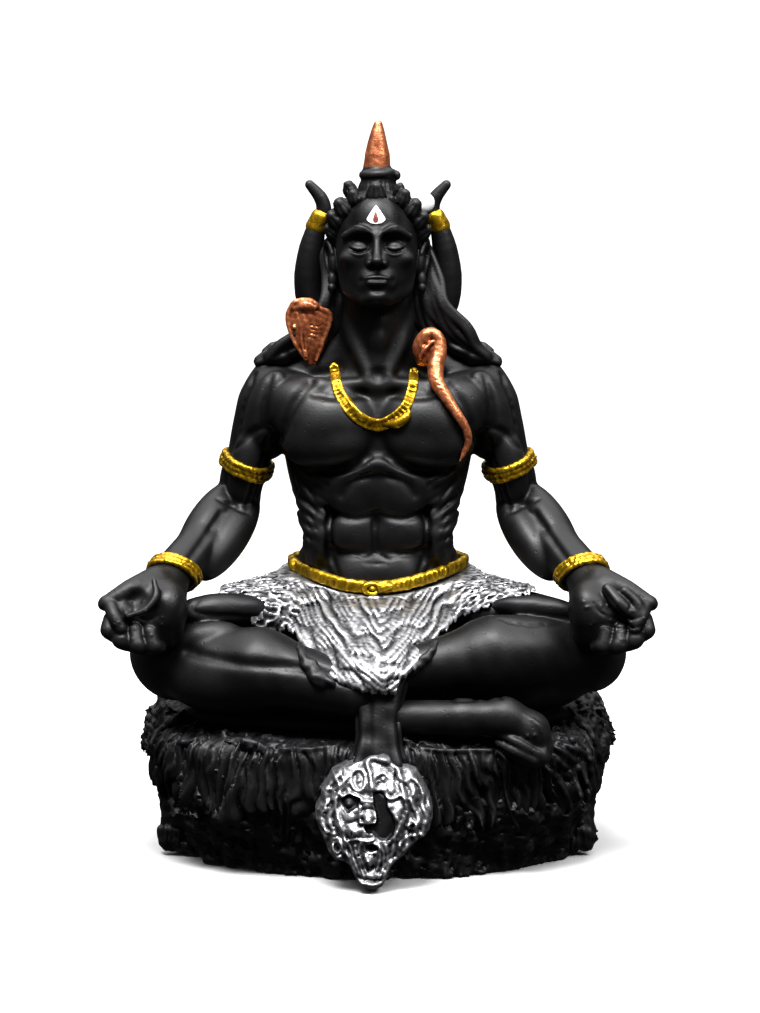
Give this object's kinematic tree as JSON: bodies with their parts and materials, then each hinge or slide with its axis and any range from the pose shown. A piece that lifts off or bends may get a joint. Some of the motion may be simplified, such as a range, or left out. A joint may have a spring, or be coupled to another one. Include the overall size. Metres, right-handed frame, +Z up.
{
  "type": "seated shiva figure on a rock",
  "caption": "Cast resin figurine of a cross-legged meditating ascetic with snake, horn-shaped prongs and topknot cone, seated on a skin-draped rock with a lion mask in front.",
  "frame": {"origin": "centre of the flat underside", "axes": "+Z up to the cone's tip, the figure faces -Y, +X to the right of a viewer who faces it"},
  "size_m": [0.1454, 0.1131, 0.1976],
  "materials": {
    "black_resin": "cast polyresin, sprayed matte black, with a soft sheen on the high places",
    "gold_paint": "hand-brushed metallic gold paint with dark recesses",
    "silver_paint": "dry-brushed metallic silver paint over black, bright on ridges and worn through in recesses",
    "copper_paint": "hand-brushed metallic copper paint",
    "white_paint": "thick opaque white paint on the crescent and the brow mark"
  },
  "bodies": {
    "root": {"shiva_figure": "black_resin"}
  },
  "joints": []
}
